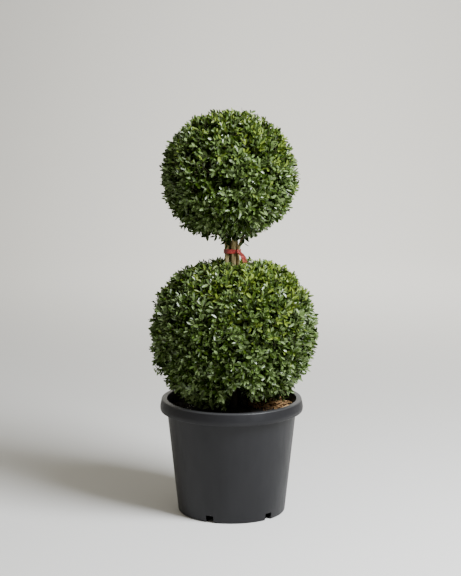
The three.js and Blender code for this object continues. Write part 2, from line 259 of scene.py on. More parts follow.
def bare_bark(name, brown_below_tie):
    """Pale tan bark of old box wood, cracked lengthways, with grey-olive patches, darker towards the soil.
    Below the tie it is browner by the share given."""
    finish = new_finish(name, (0.4, 0.32, 0.2), 0.85)
    shader = finish.node_tree.nodes["Principled BSDF"]
    streak = add_noise(finish, (1, 1, 0.16), 330, 7, 0.68)
    stops = [(0.34, (0.06, 0.04, 0.015)), (0.45, (0.34, 0.25, 0.1))]
    stops += [(0.58, (0.66, 0.54, 0.27)), (0.76, (0.84, 0.73, 0.43))]
    wood = add_ramp(finish, streak, "Fac", stops)
    patch = add_noise(finish, (1, 1, 0.5), 60, 4)
    share = add_range(finish, patch, "Fac", 0.0, 0.55, 0.48, 0.66)
    grey = add_mix(finish, wood, "Color", share, (0.16, 0.16, 0.08, 1))
    axes = add_axes(finish)
    # Browner below the tie by the share given.
    low = add_range(finish, axes, "Z", brown_below_tie, 0.0, 0.545, 0.558)
    brown = add_mix(finish, grey, "Result", low, (0.08, 0.055, 0.02, 1))
    # Darker towards the soil, from the soil up through the lower ball.
    dark_toward_soil = add_range(finish, axes, "Z", 0.92, 0.0, 0.25, 0.42)
    foot = add_mix(finish, brown, "Result", dark_toward_soil, (0.02, 0.016, 0.01, 1))
    link(finish, foot, "Result", shader, "Base Color")
    bump = add_bump(finish, streak, "Fac", 0.7, 0.0012)
    link(finish, bump, "Normal", shader, "Normal")
    return finish


def potting_soil():
    """Dark peat with brown crumbs."""
    finish = new_finish("potting_soil", (0.03, 0.022, 0.016), 0.95)
    shader = finish.node_tree.nodes["Principled BSDF"]
    crumb = add_noise(finish, (1, 1, 1), 260, 6, 0.7)
    stops = [(0.35, (0.005, 0.004, 0.003)), (0.55, (0.015, 0.011, 0.008)), (0.75, (0.045, 0.03, 0.018))]
    earth = add_ramp(finish, crumb, "Fac", stops)
    link(finish, earth, "Color", shader, "Base Color")
    bump = add_bump(finish, crumb, "Fac", 0.9, 0.004)
    link(finish, bump, "Normal", shader, "Normal")
    return finish


def red_tape():
    """Thin glossy red plastic strip, creased, with a painted pale pink highlight on its knot and tail, and
    a tail that has faded brown at its end.
    """
    finish = new_finish("red_tape", (0.3, 0.012, 0.013), 0.32, Coat_Weight=0.5)
    shader = finish.node_tree.nodes["Principled BSDF"]
    crease = add_noise(finish, (1, 1, 2.2), 170, 4)
    stops = [(0.35, (0.17, 0.007, 0.008)), (0.6, (0.52, 0.036, 0.03))]
    tone = add_ramp(finish, crease, "Fac", stops)
    axes = add_axes(finish)
    # Painted highlight: the knot and tail, right of the stems, are mixed towards pale pink.
    knot_tail_highlight = add_range(finish, axes, "X", 0.0, 0.13, 0.008, 0.016)
    pale = add_mix(finish, tone, "Color", knot_tail_highlight, (0.8, 0.36, 0.3, 1))
    faded = add_range(finish, axes, "Z", 0.9, 0.0, 0.532, 0.54)
    end = add_mix(finish, pale, "Result", faded, (0.22, 0.1, 0.035, 1))
    link(finish, end, "Result", shader, "Base Color")
    bump = add_bump(finish, crease, "Fac", 0.5, 0.001)
    link(finish, bump, "Normal", shader, "Normal")
    return finish


def background_paper():
    return new_finish("background_paper", (0.83, 0.823, 0.8), 0.9)


# ---------------------------------------------------------------- pot
POT_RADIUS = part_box("pot")[1][0]
POT_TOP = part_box("pot")[1][2]
WALL = 0.0024
FOOT_RADIUS = 0.113
BODY_DRAFT = 23 / 217
FLOOR_THICKNESS = 0.003
RIM_FOOT = 0.217
RIM_WIDEST = 0.225
RIM_CURL_RADIUS = 0.1405
LIP_RADIUS = 0.147
DRAIN_TURNS = (-23.7, 42.3, 116, 190, 263)
DRAIN_SIZE = (0.0165, 0.024, 0.029)
FLOOR_HOLES = 4
FLOOR_HOLE_CIRCLE = 0.062
FLOOR_HOLE_RADIUS = 0.007
BODY_MIDDLE = 0.12


def outer_wall(height):
    """The radius of the pot's tapering wall."""
    return FOOT_RADIUS + BODY_DRAFT * height


def round_corners(profile, steps):
    """Rings of a profile of (radius, height, rounding), each rounded corner drawn as a short arc."""
    corners = [np.array(corner[:2]) for corner in profile]
    corners = [np.array([0, corners[0][1]]), *corners, np.array([0, corners[-1][1]])]
    rings = []
    for before, corner, after, (_, _, rounding) in zip(corners, corners[1:], corners[2:], profile):
        if not rounding:
            rings.append(tuple(corner))
            continue
        start = corner + (before - corner) / np.linalg.norm(before - corner) * rounding
        end = corner + (after - corner) / np.linalg.norm(after - corner) * rounding
        for share in np.linspace(0, 1, steps):
            first = (1 - share) * start + share * corner
            last = (1 - share) * corner + share * end
            rings.append(tuple((1 - share) * first + share * last))
    return rings


def draw_rings(name, rings, around):
    """A round body drawn out ring by ring through each (radius, height), closed flat at both ends."""
    radius, height = rings[0]
    add = bpy.ops.mesh.primitive_circle_add
    piece = start_piece(name, add, vertices=around, radius=radius, location=(0, 0, height))
    settle(piece)
    bpy.ops.object.mode_set(mode="EDIT")
    bpy.ops.mesh.select_all(action="SELECT")
    bpy.ops.mesh.select_mode(type="EDGE")
    bpy.ops.mesh.extrude_region_move(TRANSFORM_OT_translate={"value": (0, 0, 0)})
    bpy.ops.mesh.merge(type="CENTER")
    bpy.ops.mesh.select_all(action="DESELECT")
    bpy.ops.object.mode_set(mode="OBJECT")
    for edge in piece.data.edges:
        edge.select = all(piece.data.vertices[i].co.xy.length > 0.5 * radius for i in edge.vertices)
    bpy.ops.object.mode_set(mode="EDIT")
    for next_radius, next_height in rings[1:]:
        share = next_radius / radius
        rise = (0, 0, next_height - height)
        bpy.ops.mesh.extrude_region_move(TRANSFORM_OT_translate={"value": rise})
        bpy.ops.transform.resize(value=(share, share, 1), center_override=(0, 0, 0))
        radius, height = next_radius, next_height
    bpy.ops.mesh.extrude_region_move(TRANSFORM_OT_translate={"value": (0, 0, 0)})
    bpy.ops.mesh.merge(type="CENTER")
    bpy.ops.mesh.select_all(action="SELECT")
    bpy.ops.mesh.normals_make_consistent(inside=False)
    bpy.ops.object.mode_set(mode="OBJECT")
    return piece


def cut_away(piece, add, places, **sizes):
    """Cuts copies of a primitive out of a piece, each at a (place, turn about Z)."""
    for place, turn in places:
        cutter = start_piece("cutter", add, location=place, rotation=(0, 0, turn), **sizes)
        settle(cutter)
        use_modifier(piece, "BOOLEAN", operation="DIFFERENCE", object=cutter, solver="EXACT")
        bpy.data.objects.remove(cutter)


def make_pot(finish):
    """The nursery pot: one wall with a rolled rim, drain notches at its foot and holes in its floor."""
    top = POT_TOP

    def inner(height):
        return outer_wall(height) - WALL

    profile = [
        (outer_wall(0), 0, 0.003),
        (outer_wall(BODY_MIDDLE), BODY_MIDDLE, 0),
        (outer_wall(top - 0.004), top - 0.004, 0.0008),
        (LIP_RADIUS - 0.0026, top - 0.003, 0.0008),
        (POT_RADIUS - WALL, RIM_WIDEST, 0.003),
        (POT_RADIUS - 0.0032, RIM_FOOT + 0.0026, 0.002),
        (RIM_CURL_RADIUS, RIM_FOOT + 0.0019, 0.0006),
        (RIM_CURL_RADIUS, RIM_FOOT, 0.0006),
        (POT_RADIUS - 0.0004, RIM_FOOT + 0.0002, 0.0014),
        (POT_RADIUS + 0.0009, RIM_WIDEST - 0.001, 0.004),
        (LIP_RADIUS + 0.0002, top, 0.0016),
        (inner(top), top, 0.001),
        (inner(BODY_MIDDLE), BODY_MIDDLE, 0),
        (inner(FLOOR_THICKNESS), FLOOR_THICKNESS, 0.002),
    ]
    pot = draw_rings("pot_shell", round_corners(profile, 5), 144)
    notches = []
    for turn in np.radians(DRAIN_TURNS):
        notches.append(((FOOT_RADIUS * math.sin(turn), -FOOT_RADIUS * math.cos(turn), 0), turn))
    cut_away(pot, bpy.ops.mesh.primitive_cube_add, notches, size=1, scale=DRAIN_SIZE)
    holes = []
    for i in range(FLOOR_HOLES):
        turn = 2 * math.pi * (i + 0.5) / FLOOR_HOLES
        holes.append(((FLOOR_HOLE_CIRCLE * math.cos(turn), FLOOR_HOLE_CIRCLE * math.sin(turn), 0), 0))
    drill = bpy.ops.mesh.primitive_cylinder_add
    cut_away(pot, drill, holes, radius=FLOOR_HOLE_RADIUS, depth=0.012, vertices=32)
    bpy.ops.object.select_all(action="DESELECT")
    pot.select_set(True)
    bpy.context.view_layer.objects.active = pot
    bpy.ops.object.shade_smooth_by_angle(angle=math.radians(32))
    pot.data.materials.append(finish)
    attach(pot, "root")
    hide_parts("pot")


# ---------------------------------------------------------------- soil
SOIL_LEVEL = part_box("soil")[1][2]
SOIL_EDGE_DROP = 0.005
SOIL_FLAT_RADIUS = 0.052
SOIL_RADIUS = 0.133
SOIL_LUMPS = 0.0035
CLEARANCE = 0.0004


def soil_height(x, y):
    """The soil's surface: flat at the stems, lower at the wall, with lumps."""
    radius = math.hypot(x, y)
    slope = min(max((radius - SOIL_FLAT_RADIUS) / (SOIL_RADIUS - SOIL_FLAT_RADIUS), 0), 1)
    lump = noise.fractal(Vector((x * 45, y * 45, 3.1)), 0.8, 2.1, 5)
    past_stems = min(max((radius - 0.03) / 0.03, 0), 1)
    return SOIL_LEVEL - SOIL_EDGE_DROP * slope + past_stems * SOIL_LUMPS * lump


def make_soil(finish):
    """The soil, with a close grid of rings on top that takes its lumps."""
    bottom = FLOOR_THICKNESS + CLEARANCE
    edge = SOIL_LEVEL - SOIL_EDGE_DROP

    def inner(height):
        return outer_wall(height) - WALL - CLEARANCE

    rings = [(0.086, bottom), (0.092, 0.016)]
    rings += [(inner(height), height) for height in (0.03, 0.1, edge)]
    rings += [(share * inner(edge), edge) for share in np.linspace(0.975, 0.02, 44)]
    soil = draw_rings("soil_bed", rings, 160)
    for vertex in soil.data.vertices:
        if vertex.co.z > edge - 0.001:
            vertex.co.z = soil_height(vertex.co.x, vertex.co.y)
    bpy.ops.object.shade_smooth()
    soil.data.materials.append(finish)
    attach(soil, "root")
    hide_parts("soil")


# ---------------------------------------------------------------- joined meshes from arrays
def mesh_from_arrays(name, points, faces, finish, smooth=True):
    """One piece from an array of points and an array of equal-sided faces."""
    mesh = bpy.data.meshes.new(name)
    sides = faces.shape[1]
    mesh.vertices.add(len(points))
    mesh.vertices.foreach_set("co", np.ascontiguousarray(points, np.float32).ravel())
    mesh.loops.add(faces.size)
    mesh.loops.foreach_set("vertex_index", np.ascontiguousarray(faces, np.int32).ravel())
    mesh.polygons.add(len(faces))
    mesh.polygons.foreach_set("loop_start", np.arange(0, faces.size, sides, dtype=np.int32))
    mesh.polygons.foreach_set("use_smooth", np.full(len(faces), smooth))
    mesh.update(calc_edges=True)
    mesh.validate()
    piece = bpy.data.objects.new(name, mesh)
    bpy.context.collection.objects.link(piece)
    mesh.materials.append(finish)
    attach(piece, "root")
    return piece


def unit(vectors):
    return vectors / np.maximum(np.linalg.norm(vectors, axis=-1, keepdims=True), 1e-12)


def side_vectors(along):
    """Two unit vectors square to each direction and to each other."""
    helper = np.where(np.abs(along[:, 2:]) < 0.9, [[0.0, 0.0, 1.0]], [[1.0, 0.0, 0.0]])
    first = unit(np.cross(along, helper))
    return first, np.cross(along, first)


def tube_arrays(starts, ends, start_radii, end_radii, sides=4):
    """Straight tapering twigs, open at both ends where they run into others."""
    first, second = side_vectors(unit(ends - starts))
    turns = np.arange(sides) * 2 * math.pi / sides
    ring = first[:, None] * np.cos(turns)[None, :, None] + second[:, None] * np.sin(turns)[None, :, None]
    low = starts[:, None] + ring * start_radii[:, None, None]
    high = ends[:, None] + ring * end_radii[:, None, None]
    points = np.concatenate([low, high], axis=1)
    corner = np.arange(sides)
    after = (corner + 1) % sides
    one = np.stack([corner, after, after + sides, corner + sides], axis=1)
    faces = (np.arange(len(starts)) * 2 * sides)[:, None, None] + one[None]
    return points.reshape(-1, 3), faces.reshape(-1, 4)


# ---------------------------------------------------------------- stems and boughs
# In millimetres: each stem's (X, Y) at the soil, the tie and the neck, its tip, and its radius.
STEMS = {
    "stem_left": ((-27, -5), (-9.4, -1.8), (-13.2, -1.6), (-44, -12, 668), 4.6),
    "stem_back": ((-6, 21), (9.6, 5.4), (8.6, 8.4), (-10, 36, 690), 4.2),
    "stem_front": ((5, -18), (3.5, -4.9), (4.4, -5.4), (6, -22, 704), 5.2),
    "stem_right": ((28, 2), (14.3, -3.2), (20.6, -3), (54, 6, 672), 2.9),
}
BOUGHS = {
    "bough_left": [(-12, -3, 572), (-27, -10, 591), (-56, -22, 628)],
    "bough_right": [(19, -4, 574), (35, -9, 592), (70, -18, 622)],
}
BOUGH_RADII = (2.6, 1.7)
MID_LEVEL = 400
TIE_LEVEL = 554
NECK_LEVEL = 580
MILLIMETRE = 0.001


def smooth_path(corners, count):
    """Points along the smooth curve through the corners, spaced as the stems of the frame are."""
    corners = [np.array(corner, float) for corner in corners]
    padded = [2 * corners[0] - corners[1], *corners, 2 * corners[-1] - corners[-2]]
    path = []
    for share in np.linspace(0, 1, count):
        place = share * (len(corners) - 1)
        span = min(int(place), len(corners) - 2)
        weight = place - span
        before, start, end, after = padded[span : span + 4]
        into = math.sqrt(np.linalg.norm(start - before))
        along = math.sqrt(np.linalg.norm(end - start))
        onward = math.sqrt(np.linalg.norm(after - end))
        leave = (start - before) / into - (end - before) / (into + along) + (end - start) / along
        arrive = (end - start) / along - (after - start) / (along + onward) + (after - end) / onward
        leave, arrive = leave * along, arrive * along
        square, cube = weight**2, weight**3
        point = (2 * cube - 3 * square + 1) * start + (cube - 2 * square + weight) * leave
        point += (3 * square - 2 * cube) * end + (cube - square) * arrive
        path.append(point)
    return np.array(path)


def stem_path(stem, count):
    foot, tie, neck, tip, _ = stem
    mid = 0.55 * np.array(foot) + 0.45 * np.array(tie)
    start = (SOIL_LEVEL + CLEARANCE) / MILLIMETRE
    corners = [(*foot, start), (*mid, MID_LEVEL), (*tie, TIE_LEVEL), (*neck, NECK_LEVEL), tip]
    return smooth_path(corners, count) * MILLIMETRE


def stem_radii(stem, count):
    """A stem's radii from its flared foot to its tip."""
    share = np.linspace(0, 1, count)
    return stem[-1] * (1 + 0.4 * (0.6 - share) + 0.45 * np.exp(-share / 0.035)) * MILLIMETRE


def bough_path(corners, count):
    return smooth_path(corners, count) * MILLIMETRE


def bough_radii(count):
    return np.linspace(*BOUGH_RADII, count) * MILLIMETRE


def make_limb(name, path, radii, finish, depth):
    """A limb drawn out ring by ring along its path, then given bark relief."""
    aim = Vector(path[len(path) // 2] - path[0])
    turn = aim.to_track_quat("Z", "Y").to_euler()
    limb = start_piece(
        name,
        bpy.ops.mesh.primitive_circle_add,
        vertices=20,
        radius=radii[0],
        location=path[0],
        rotation=turn,
        fill_type="NGON",
    )
    settle(limb)
    bpy.ops.object.mode_set(mode="EDIT")
    bpy.ops.mesh.select_all(action="SELECT")
    for i in range(1, len(path)):
        share = radii[i] / radii[i - 1]
        bpy.ops.mesh.extrude_region_move(TRANSFORM_OT_translate={"value": path[i] - path[i - 1]})
        bpy.ops.transform.resize(value=(share, share, share), center_override=path[i])
    bpy.ops.mesh.select_all(action="SELECT")
    bpy.ops.mesh.normals_make_consistent(inside=False)
    bpy.ops.object.mode_set(mode="OBJECT")
    use_modifier(limb, "SUBSURF", levels=1, render_levels=1)
    foot = min(vertex.co.z for vertex in limb.data.vertices)
    for vertex in limb.data.vertices:
        place = vertex.co
        crack = noise.fractal(Vector((place.x * 420, place.y * 420, place.z * 48)), 0.9, 2.0, 4)
        knot = noise.noise(Vector((place.x * 60, place.y * 60, place.z * 55)))
        fade = min((place.z - foot) / 0.004, 1)
        vertex.co = place + vertex.normal * fade * depth * (0.55 * crack + 0.8 * knot)
    bpy.ops.object.shade_smooth()
    limb.data.materials.append(finish)
    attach(limb, "root")
    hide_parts(name)
    return limb


def make_limbs(pale, brown):
    """The four stems and two boughs. The front stem is the brown one."""
    for name, stem in STEMS.items():
        finish = brown if name == "stem_front" else pale
        make_limb(name, stem_path(stem, 90), stem_radii(stem, 90), finish, 0.0007)
    for name, corners in BOUGHS.items():
        make_limb(name, bough_path(corners, 24), bough_radii(24), pale, 0.0003)


# ---------------------------------------------------------------- tie
TIE_CENTRE = (0.0016, -0.0006)
TIE_HALF_WIDTH = 0.0164
TIE_HALF_DEPTH = 0.0114
TIE_SLACK = 0.0012
TIE_TILT = 0.0017
TAPE_WIDTH = 0.0094
TAPE_THICKNESS = 0.0007
KNOT = (0.0134, -0.0124, 0.5555)
KNOT_AXIS = (0.85, -0.35, 0.4)
TAIL = [(13.2, -12.2, 555), (19.2, -13.4, 550), (24.8, -14.4, 542.5), (28.6, -14.9, 531.5)]
TAIL_STEPS = 22
TAIL_THICKNESS = 0.0005


def make_tie(finish):
    """A strip round the stems, pinched at its knot, and a creased tail."""
    level = TIE_LEVEL * MILLIMETRE
    band = start_piece(
        "tie_band",
        bpy.ops.mesh.primitive_cylinder_add,
        vertices=96,
        radius=1,
        depth=TAPE_WIDTH,
        end_fill_type="NOTHING",
        location=(*TIE_CENTRE, level),
    )
    band.scale = (TIE_HALF_WIDTH + TIE_SLACK, TIE_HALF_DEPTH + TIE_SLACK, 1)
    settle(band)
    bpy.ops.object.mode_set(mode="EDIT")
    bpy.ops.mesh.select_all(action="SELECT")
    bpy.ops.mesh.subdivide(number_cuts=4)
    bpy.ops.object.mode_set(mode="OBJECT")
    for vertex in band.data.vertices:
        place = vertex.co
        up = (place.z - level) / TAPE_WIDTH
        turn = math.atan2(place.y, place.x)
        pinch = 1 - 0.3 * math.exp(-((turn + 0.75) / 0.5) ** 2)
        crease = noise.fractal(Vector((place.x * 120, place.y * 120, place.z * 500)), 0.9, 2, 3)
        vertex.co.z = level + up * TAPE_WIDTH * pinch - TIE_TILT * math.sin(turn)
        vertex.co.xy = place.xy * (1 + 0.025 * crease)
    use_modifier(band, "SOLIDIFY", thickness=TAPE_THICKNESS, offset=1)
    tail_top = np.array(TAIL[0]) * MILLIMETRE
    tail = start_piece("tie_tail", bpy.ops.mesh.primitive_plane_add, size=TAPE_WIDTH, location=tail_top)
    shape_tail(tail)
    ring = bpy.ops.mesh.primitive_torus_add
    knot = start_piece("tie_knot", ring, major_radius=0.0032, minor_radius=0.0022, location=KNOT)
    knot.rotation_euler = Vector(KNOT_AXIS).to_track_quat("Z", "Y").to_euler()
    settle(knot)
    for vertex in knot.data.vertices:
        crease = noise.noise(Vector((vertex.co.x * 150, vertex.co.y * 150, vertex.co.z * 420)))
        vertex.co += vertex.normal * 0.0009 * crease
    for piece in (band, tail, knot):
        piece.select_set(True)
    bpy.context.view_layer.objects.active = band
    bpy.ops.object.join()
    bpy.ops.object.shade_smooth_by_angle(angle=math.radians(40))
    band.name = "red_tie"
    band.data.materials.append(finish)
    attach(band, "root")
    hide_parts("tie")


def shape_tail(tail):
    """Draws the creased tail out of its first edge along its path, wider as it leaves the knot."""
    path = smooth_path(TAIL, TAIL_STEPS) * MILLIMETRE
    across = Vector((0.25, 0.05, 1)).normalized()
    bpy.ops.object.mode_set(mode="EDIT")
    bpy.ops.mesh.select_all(action="SELECT")
    bpy.ops.mesh.delete(type="ONLY_FACE")
    bpy.ops.object.mode_set(mode="OBJECT")
    settle(tail)
    mesh = tail.data
    for vertex, side in zip(mesh.vertices, (-1, 1, -1, 1)):
        vertex.co = Vector(path[0]) + across * side * TAPE_WIDTH * 0.3
    bpy.ops.object.mode_set(mode="EDIT")
    bpy.ops.mesh.select_all(action="SELECT")
    bpy.ops.mesh.remove_doubles(threshold=0.0001)
    bpy.ops.mesh.subdivide(number_cuts=7)
    bpy.ops.mesh.select_all(action="SELECT")
    for i in range(1, len(path)):
        step = path[i] - path[i - 1]
        wider = 1.045 if i <= TAIL_STEPS // 2 else 0.995
        bpy.ops.mesh.extrude_region_move(TRANSFORM_OT_translate={"value": step})
        bpy.ops.transform.resize(value=(wider, wider, wider), center_override=path[i])
        bpy.ops.transform.rotate(value=-0.045, orient_axis="Y", center_override=path[i])
    bpy.ops.object.mode_set(mode="OBJECT")
    for vertex in mesh.vertices:
        crease = noise.fractal(vertex.co * 230, 0.9, 2, 3)
        vertex.co.y += 0.0012 * crease
    use_modifier(tail, "SOLIDIFY", thickness=TAIL_THICKNESS, offset=0)


# ---------------------------------------------------------------- foliage rule
# Each ball's outline, sprays and seed. Each row of the lists has a heading from the ball's centre and a
# width round it, on a ball of radius 1:
# - thin: the parts that grow thinly, with the shares left bare outside and inside
# - tones: where the leaves are dealt lighter or darker tints, as painted light and painted shade, and by
#   how much
# - hollows: the dark gaps between the outer sprays
# - swells: where the outline stands out or in, in metres
UPPER_BALL = {
    "name": "upper",
    "node": "upper_foliage",
    "centre": np.array([-0.0058, 0, 0.713]),
    "half_width": 0.142,
    "half_up": 0.134,
    "half_down": 0.134,
    "squareness": 2.05,
    "sprays": 440,
    "shoot_gap": 0.0136,
    "seed": 12,
    "thin": [((-0.66, -0.1, -0.7), 0.45, 0.06, 0.95)],
    "tones": [
        ((-0.81, -0.56, -0.17), 0.22, 0.42),
        ((-0.27, -0.96, -0.1), 0.22, -0.36),
        ((0.13, -0.98, -0.09), 0.28, 0.38),
        ((0.27, -0.95, 0.17), 0.22, 0.12),
        ((0, -0.92, -0.38), 0.22, -0.26),
        ((-0.81, -0.46, 0.36), 0.22, 0.15),
        ((0.27, -0.86, 0.43), 0.22, 0.14),
        ((-0.54, -0.83, -0.12), 0.22, -0.14),
        ((0, -0.73, 0.68), 0.22, -0.24),
        ((0.27, -0.69, 0.67), 0.2, 0.13),
        ((0, -0.98, 0.2), 0.18, -0.16),
        ((-0.27, -0.73, 0.62), 0.2, -0.1),
        ((-0.27, -0.95, 0.17), 0.18, 0.22),
        ((-0.54, -0.73, -0.42), 0.2, 0.32),
        ((0, -1.0, -0.09), 0.13, 0.24),
    ],
    "hollows": [
        ((-0.64, -0.66, 0.4), 0.085),
        ((-0.79, -0.56, 0.23), 0.07),
        ((-0.32, -0.92, 0.25), 0.085),
        ((-0.8, -0.58, -0.02), 0.075),
        ((-0.52, -0.85, -0.13), 0.08),
        ((0.1, -0.94, -0.31), 0.075),
        ((-0.14, -0.74, -0.66), 0.085),
        ((0.27, -0.7, -0.66), 0.065),
        ((0.45, -0.77, 0.45), 0.06),
        ((0.02, -0.9, 0.44), 0.05),
    ],
    "swells": [
        ((0.97, 0, -0.2), 0.3, 0.004),
        ((-0.94, 0, -0.34), 0.22, -0.008),
        ((-0.77, 0, -0.64), 0.2, 0.004),
        ((0.17, 0, 0.98), 0.2, 0.003),
        ((-0.75, 0, 0.6), 0.3, -0.001),
        ((0.82, 0, 0.57), 0.3, -0.003),
        ((-0.25, -0.18, -1.0), 0.24, -0.008),
        ((0.3, -0.18, -1.0), 0.2, -0.006),
        ((0.75, -0.05, -0.6), 0.2, -0.003),
    ],
}
LOWER_BALL = {
    "name": "lower",
    "node": "lower_foliage",
    "centre": np.array([0.004, 0, 0.395]),
    "half_width": 0.1715,
    "half_up": 0.146,
    "half_down": 0.18,
    "squareness": 2.2,
    "sprays": 625,
    "shoot_gap": 0.0116,
    "seed": 29,
    "thin": [((-0.8, -0.1, -0.5), 0.3, 0.0, 0.7), ((-0.45, -0.52, -0.73), 0.32, 0.45, 0.9)],
    "tones": [
        ((0.2, -0.69, -0.7), 0.22, 0.36),
        ((0.81, -0.56, -0.17), 0.22, -0.4),
        ((-0.54, -0.83, -0.12), 0.2, -0.14),
        ((-0.27, -0.86, 0.43), 0.22, 0.36),
        ((-0.27, -0.95, 0.12), 0.2, 0.15),
        ((0, -0.9, 0.44), 0.2, -0.28),
        ((0.54, -0.83, 0.15), 0.2, -0.24),
        ((0, -0.92, -0.38), 0.2, -0.13),
        ((0, -0.98, 0.18), 0.2, 0.15),
        ((-0.54, -0.74, 0.41), 0.2, -0.12),
        ((0.54, -0.83, -0.12), 0.2, 0.38),
        ((-0.54, -0.73, -0.42), 0.2, 0.11),
        ((-0.27, -0.96, -0.1), 0.2, -0.2),
    ],
    "hollows": [
        ((0.02, -0.94, -0.34), 0.045),
        ((-0.82, -0.49, 0.3), 0.04),
        ((-0.82, -0.55, -0.15), 0.04),
        ((-0.38, -0.89, 0.24), 0.035),
        ((-0.69, -0.64, -0.33), 0.035),
        ((-0.05, -0.62, -0.78), 0.06),
    ],
    "swells": [
        ((0.62, -0.1, 0.76), 0.28, 0.006),
        ((0.98, -0.1, 0.08), 0.27, 0.006),
        ((-0.98, 0, 0.15), 0.3, 0.002),
        ((-0.88, 0, -0.45), 0.2, 0.004),
        ((-0.8, 0, 0.62), 0.22, -0.001),
        ((-0.87, 0, 0.48), 0.16, -0.004),
        ((-0.78, 0, -0.62), 0.2, 0.007),
        ((-0.56, -0.4, -0.74), 0.26, 0.007),
        ((-0.35, 0.1, 1.0), 0.25, -0.008),
        ((0.15, 0.2, 1.0), 0.3, -0.011),
        ((0.05, -0.12, 1.0), 0.2, -0.009),
    ],
}

# Sprays: how deep they fork, their shoots, the length, fan and lean of these and the way they lean, the
# unevenness of the clipping, and the places looked at for gaps, which may be wider in the sunk layer.
SPRAY_DEPTH = 0.036
SHOOTS = 4
SHOOT_LENGTH = 0.034
FAN = 0.36
LEAN = 0.62
LIFT = (-0.2, 0, 0.7)
WAVE = 0.004
FILL_PLACES = 2600
SUNK_GAP = 1.35

# Leaf pairs down a shoot, from its tip: the gap between them, a leaf's length, each pair's size and splay
# in degrees, the growth of shaded leaves, the way the faces turn, how far a tip may stand out of the
# outline, and how deep a hollow is.
NODE_GAP = 0.0058
LEAF_LENGTH = 0.0155
LEAF_SCALE = (0.78, 0.98, 1.04, 1.04, 1.02, 1.0, 0.98)
LEAF_SPLAY = (26, 42, 52, 58, 62, 64, 66)
SHADE_GROWTH = 0.1
LIGHTWARD = (0.32, -0.12, 0.34)
LEAF_PROUD = 0.0078
HOLLOW_DEPTH = 0.017

# Each layer: how far under the outline its shoots end, its share of the sprays, and its leaf pairs
# a shoot.
LAYERS = ((0.0, 1.0, 7), (0.026, 0.45, 4))

# Half a leaf along +Y with its face up +Z: base, three rows of a rib point and an edge point, and tip. The
# two halves have a rib each, so that the fold between them stays crisp.
RIB_DIP = -0.035
HALF_LEAF = [
    (0, 0, 0),
    (0, 0.24, RIB_DIP), (0.125, 0.24, 0.025),
    (0, 0.57, RIB_DIP), (0.182, 0.57, 0.03),
    (0, 0.87, RIB_DIP), (0.122, 0.87, 0.005),
    (0, 1.0, -0.02),
]
HALF_FACES = [(0, 2, 1), (1, 2, 4), (1, 4, 3), (3, 4, 6), (3, 6, 5), (5, 6, 7)]
LEAF_POINTS = np.array(HALF_LEAF + [(-x, y, z) for x, y, z in HALF_LEAF])
LEAF_FACES = np.array(HALF_FACES + [(a + 8, c + 8, b + 8) for a, b, c in HALF_FACES])


def falloff(directions, heading, width):
    """How near each direction is to a heading: 1 at it, fading over the width."""
    apart = np.linalg.norm(directions - unit(np.array(heading, float)), axis=1)
    return np.exp(-((apart / width) ** 2))


def skirt_height(ball, directions):
    """The height at which the lower ball's foliage stops, raised at the front and the front right."""
    if ball["name"] == "upper":
        return np.full(len(directions), -1.0)
    azimuth = np.degrees(np.arctan2(directions[:, 0], -directions[:, 1]))

    def near(degrees, width):
        away = np.abs((azimuth - degrees + 180) % 360 - 180)
        return np.exp(-((away / width) ** 2))

    return 0.230 + 0.068 * near(6, 11) + 0.034 * near(45, 26)


def outline_reach(ball, directions):
    """How far the clipped outline is from the ball's centre in each unit direction."""
    half = np.where(directions[:, 2] > 0, ball["half_up"], ball["half_down"])
    across = np.hypot(directions[:, 0], directions[:, 1]) / ball["half_width"]
    upright = np.abs(directions[:, 2]) / half
    power = ball["squareness"]
    reach = (across**power + upright**power) ** (-1 / power)
    drop = np.maximum(-directions[:, 2], 1e-6)
    to_skirt = (ball["centre"][2] - skirt_height(ball, directions)) / drop
    for heading, width, amount in ball["swells"]:
        reach = reach + amount * falloff(directions, heading, width)
    wave = np.sin(7 * directions[:, 0] + ball["seed"]) * np.sin(8 * directions[:, 1] + 2)
    wave = wave * np.sin(7 * directions[:, 2] + 1)
    return np.minimum(reach + WAVE * wave, to_skirt)


def limb_samples():
    """Points down the middle of every stem and bough, with the radius there."""
    places, radii = [], []
    for stem in STEMS.values():
        places.append(stem_path(stem, 160))
        radii.append(stem_radii(stem, 160))
    for corners in BOUGHS.values():
        places.append(bough_path(corners, 60))
        radii.append(bough_radii(60))
    return np.concatenate(places), np.concatenate(radii)


def clear_of_limbs(points, margin):
    """Which points stay a margin away from every stem and bough."""
    places, radii = limb_samples()
    clear = np.ones(len(points), bool)
    for start in range(0, len(points), 4000):
        block = points[start : start + 4000]
        gaps = np.linalg.norm(block[:, None] - places[None], axis=2) - radii[None]
        clear[start : start + 4000] = gaps.min(axis=1) > margin
    return clear


def spread_directions(count, rng):
    """Directions spread evenly round a ball along a spiral, each a little astray."""
    index = np.arange(count)
    height = 1 - 2 * (index + 0.5) / count
    turn = index * GOLDEN_ANGLE + 0.5 * rng.random(count)
    across = np.sqrt(1 - height**2)
    even = np.stack([across * np.cos(turn), across * np.sin(turn), height], axis=1)
    return unit(even + 0.3 / math.sqrt(count) * rng.normal(size=(count, 3)))


def is_thinned(ball, directions, sunk, rng):
    """Which directions are left bare in the parts of the ball that grow thinly."""
    bare = np.zeros(len(directions), bool)
    for heading, width, outside, inside in ball["thin"]:
        share = inside if sunk else outside
        bare |= rng.random(len(directions)) < share * falloff(directions, heading, width)
    return bare


def in_hollow(ball, directions):
    """Which directions look into one of the dark hollows between the outer sprays."""
    found = np.zeros(len(directions), bool)
    for heading, width in ball["hollows"]:
        found |= np.linalg.norm(directions - unit(np.array(heading)), axis=1) < width
    return found


